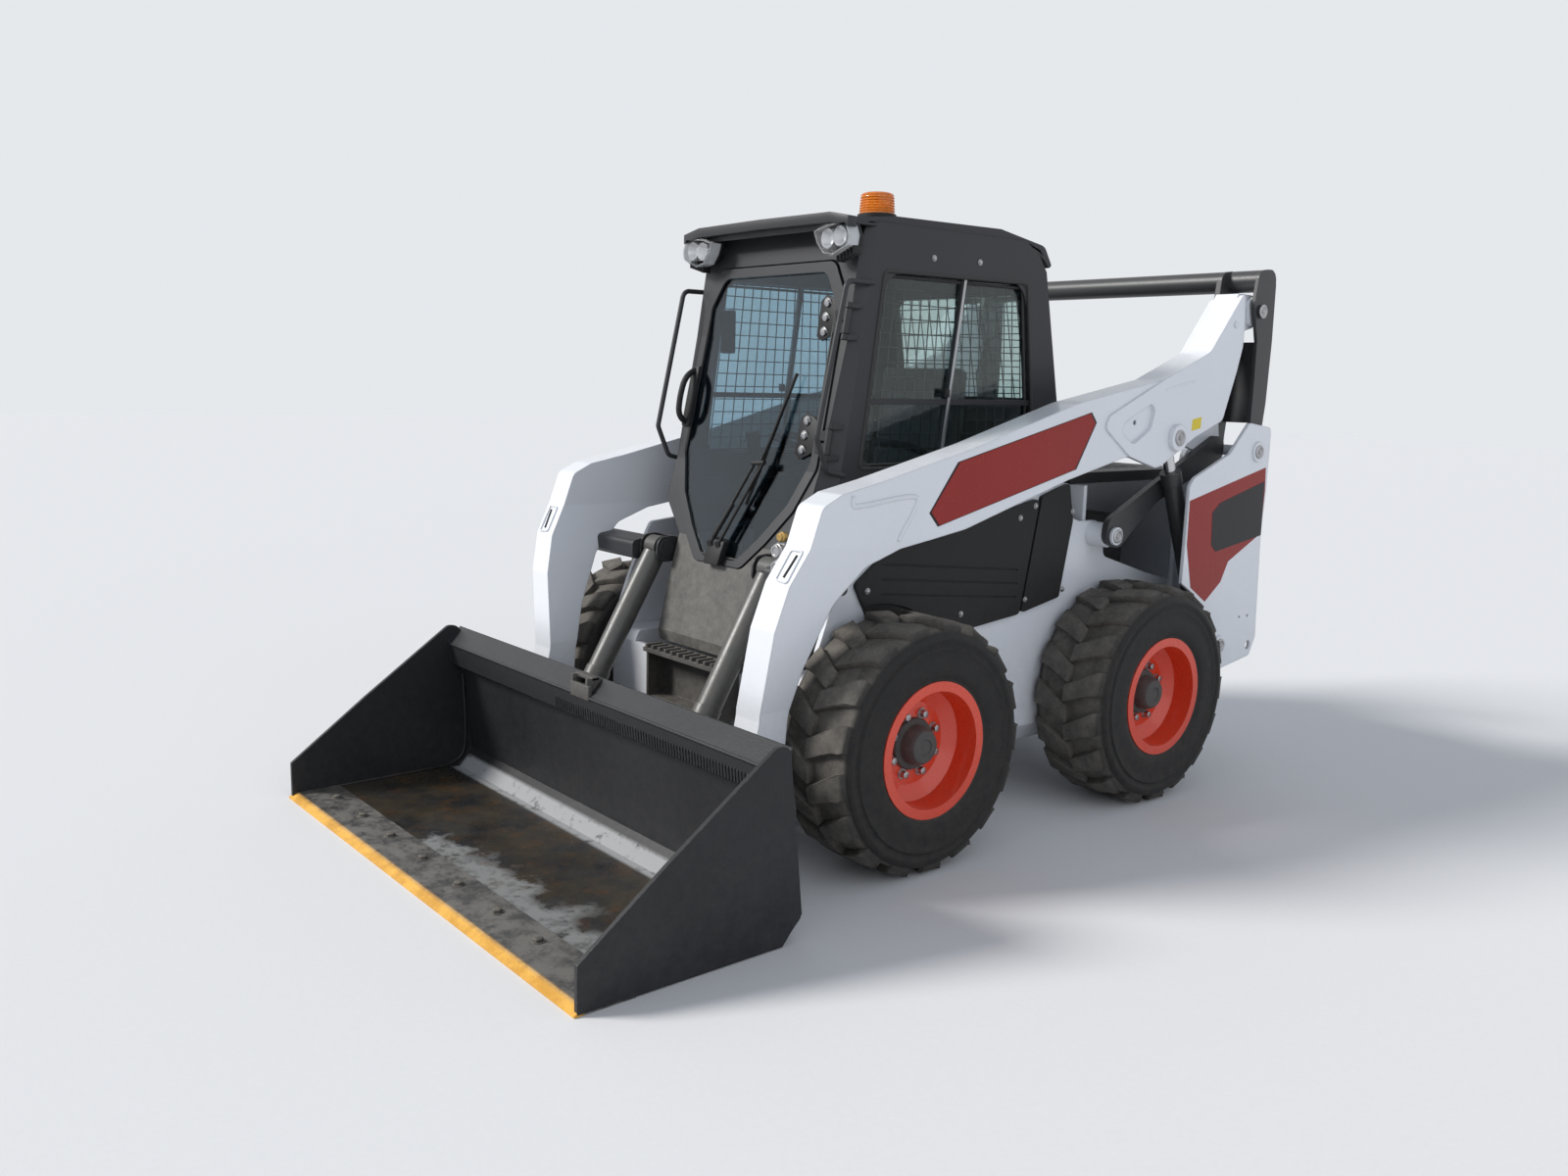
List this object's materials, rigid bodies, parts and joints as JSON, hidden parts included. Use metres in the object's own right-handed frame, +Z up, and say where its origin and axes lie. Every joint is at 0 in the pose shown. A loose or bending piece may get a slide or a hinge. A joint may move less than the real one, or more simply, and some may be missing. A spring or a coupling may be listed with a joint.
{
  "type": "skid steer loader",
  "caption": "Compact wheeled loader with a closed cab, lift arms on a rear linkage, and a wide bucket resting flat on the ground.",
  "frame": {"origin": "on the ground, halfway along and halfway across the loader", "axes": "+Z up, -Y forward to the bucket, +X to the operator's left"},
  "size_m": [2.032, 3.54, 2.176],
  "materials": {
    "white_paint": "gloss",
    "black_paint": "satin",
    "orange_paint": "gloss",
    "tyre_rubber": "dusty",
    "black_plastic": "moulded",
    "tinted_glass": "tinted",
    "amber": "clear",
    "lamp": "clear",
    "steel": "ground",
    "yellow_edge": "worn",
    "seat_cloth": "woven",
    "cast": "rough",
    "red_lens": "clear"
  },
  "bodies": {
    "chassis": {"main_frame": "white_paint", "upright_left": "white_paint", "upright_right": "white_paint", "side_covers": "black_plastic", "axle_tubes": "black_paint", "engine": "cast", "cab_frame": "black_paint", "foot_well": "black_paint", "cab_roof": "black_paint", "side_windows": "tinted_glass", "window_bars": "black_paint", "rear_window": "tinted_glass", "seat": "seat_cloth", "controls": "black_plastic", "lap_bar": "black_paint", "work_lamps": "lamp", "beacon": "amber", "tail_lamps": "red_lens", "grab_handles": "black_paint", "front_step": "black_paint"},
    "hood": {"hood": "white_paint"},
    "tailgate": {"tailgate": "white_paint"},
    "door": {"door_frame": "black_paint", "door_glass": "tinted_glass", "wiper": "black_paint"},
    "arms": {"arm_left": "white_paint", "arm_right": "white_paint", "arm_crossmember": "black_paint", "couplers": "steel"},
    "rear_link": {"rear_link": "black_paint"},
    "attachment": {"attach_frame": "black_paint", "bucket": "black_paint", "cutting_edge": "yellow_edge"},
    "control_link_left": {"control_link_left": "black_paint"},
    "lift_barrel_left": {"lift_barrel_left": "black_paint"},
    "lift_rod_left": {"lift_rod_left": "steel"},
    "control_link_right": {"control_link_right": "black_paint"},
    "lift_barrel_right": {"lift_barrel_right": "black_paint"},
    "lift_rod_right": {"lift_rod_right": "steel"},
    "tilt_barrel_left": {"tilt_barrel_left": "black_paint"},
    "tilt_rod_left": {"tilt_rod_left": "steel"},
    "tilt_barrel_right": {"tilt_barrel_right": "black_paint"},
    "tilt_rod_right": {"tilt_rod_right": "steel"},
    "wheel_front_left": {"tyre_front_left": "tyre_rubber", "rim_front_left": "orange_paint"},
    "wheel_front_right": {"tyre_front_right": "tyre_rubber", "rim_front_right": "orange_paint"},
    "wheel_rear_left": {"tyre_rear_left": "tyre_rubber", "rim_rear_left": "orange_paint"},
    "wheel_rear_right": {"tyre_rear_right": "tyre_rubber", "rim_rear_right": "orange_paint"}
  },
  "joints": [
    {"name": "rear_link_swing", "type": "hinge", "parent": "chassis", "child": "rear_link", "pos_m": [0, 1.475, 1.308], "axis": [-1, 0, 0], "range_deg": [0, 14]},
    {"name": "boom_lift", "type": "hinge", "parent": "rear_link", "child": "arms", "pos_m": [0, 1.45, 1.856], "axis": [-1, 0, 0], "range_deg": [0, 50]},
    {"name": "control_link_left_swing", "type": "hinge", "parent": "chassis", "child": "control_link_left", "pos_m": [0.671, 0.746, 0.998], "axis": [1, 0, 0], "range_deg": [0, 36.62]},
    {"name": "lift_cylinder_left_swing", "type": "hinge", "parent": "chassis", "child": "lift_barrel_left", "pos_m": [0.726, 1.301, 0.54], "axis": [-1, 0, 0], "range_deg": [0, 8.72]},
    {"name": "lift_cylinder_left_stroke", "type": "slide", "parent": "lift_barrel_left", "child": "lift_rod_left", "axis": [0, -0.3802, 0.9249], "range_m": [0, 0.68169]},
    {"name": "control_link_right_swing", "type": "hinge", "parent": "chassis", "child": "control_link_right", "pos_m": [-0.671, 0.746, 0.998], "axis": [1, 0, 0], "range_deg": [0, 36.62]},
    {"name": "lift_cylinder_right_swing", "type": "hinge", "parent": "chassis", "child": "lift_barrel_right", "pos_m": [-0.726, 1.301, 0.54], "axis": [-1, 0, 0], "range_deg": [0, 8.72]},
    {"name": "lift_cylinder_right_stroke", "type": "slide", "parent": "lift_barrel_right", "child": "lift_rod_right", "axis": [0, -0.3802, 0.9249], "range_m": [0, 0.68169]},
    {"name": "bucket_tilt", "type": "hinge", "parent": "arms", "child": "attachment", "pos_m": [0, -0.939, 0.205], "axis": [1, 0, 0], "range_deg": [-20, 104]},
    {"name": "tilt_cylinder_left_swing", "type": "hinge", "parent": "arms", "child": "tilt_barrel_left", "pos_m": [0.335, -0.624, 0.931], "axis": [1, 0, 0], "range_deg": [-0.35, 1.79]},
    {"name": "tilt_cylinder_left_stroke", "type": "slide", "parent": "tilt_barrel_left", "child": "tilt_rod_left", "axis": [0, -0.5032, -0.8641], "range_m": [-0.03956, 0.2036]},
    {"name": "tilt_cylinder_right_swing", "type": "hinge", "parent": "arms", "child": "tilt_barrel_right", "pos_m": [-0.335, -0.624, 0.931], "axis": [1, 0, 0], "range_deg": [-0.35, 1.79]},
    {"name": "tilt_cylinder_right_stroke", "type": "slide", "parent": "tilt_barrel_right", "child": "tilt_rod_right", "axis": [0, -0.5032, -0.8641], "range_m": [-0.03956, 0.2036]},
    {"name": "cab_door", "type": "hinge", "parent": "chassis", "child": "door", "pos_m": [0.428, -0.482, 1.32], "axis": [0, 0.1686, 0.9857], "range_deg": [0, 90]},
    {"name": "hood_lift", "type": "hinge", "parent": "chassis", "child": "hood", "pos_m": [0, 0.694, 1.206], "axis": [1, 0, 0], "range_deg": [0, 60]},
    {"name": "tailgate_swing", "type": "hinge", "parent": "chassis", "child": "tailgate", "pos_m": [-0.54, 1.606, 0.865], "axis": [0, 0, 1], "range_deg": [0, 100]},
    {"name": "wheel_front_left_turn", "type": "hinge", "parent": "chassis", "child": "wheel_front_left", "pos_m": [0.7455, -0.4, 0.41], "axis": [1, 0, 0], "continuous": true},
    {"name": "wheel_front_right_turn", "type": "hinge", "parent": "chassis", "child": "wheel_front_right", "pos_m": [-0.7455, -0.4, 0.41], "axis": [1, 0, 0], "continuous": true},
    {"name": "wheel_rear_left_turn", "type": "hinge", "parent": "chassis", "child": "wheel_rear_left", "pos_m": [0.7455, 0.831, 0.41], "axis": [1, 0, 0], "continuous": true},
    {"name": "wheel_rear_right_turn", "type": "hinge", "parent": "chassis", "child": "wheel_rear_right", "pos_m": [-0.7455, 0.831, 0.41], "axis": [1, 0, 0], "continuous": true}
  ],
  "couplings": [
    {"joint": "rear_link_swing", "follows": "boom_lift", "ratio": 0.28},
    {"joint": "control_link_left_swing", "follows": "boom_lift", "ratio": 0.73213},
    {"joint": "lift_cylinder_left_swing", "follows": "boom_lift", "ratio": 0.17413},
    {"joint": "lift_cylinder_left_stroke", "follows": "boom_lift", "m_per_rad": 0.78059},
    {"joint": "control_link_right_swing", "follows": "boom_lift", "ratio": 0.73213},
    {"joint": "lift_cylinder_right_swing", "follows": "boom_lift", "ratio": 0.17413},
    {"joint": "lift_cylinder_right_stroke", "follows": "boom_lift", "m_per_rad": 0.78059},
    {"joint": "tilt_cylinder_left_swing", "follows": "bucket_tilt", "ratio": 0.01715},
    {"joint": "tilt_cylinder_left_stroke", "follows": "bucket_tilt", "m_per_rad": 0.11189},
    {"joint": "tilt_cylinder_right_swing", "follows": "bucket_tilt", "ratio": 0.01715},
    {"joint": "tilt_cylinder_right_stroke", "follows": "bucket_tilt", "m_per_rad": 0.11189}
  ]
}
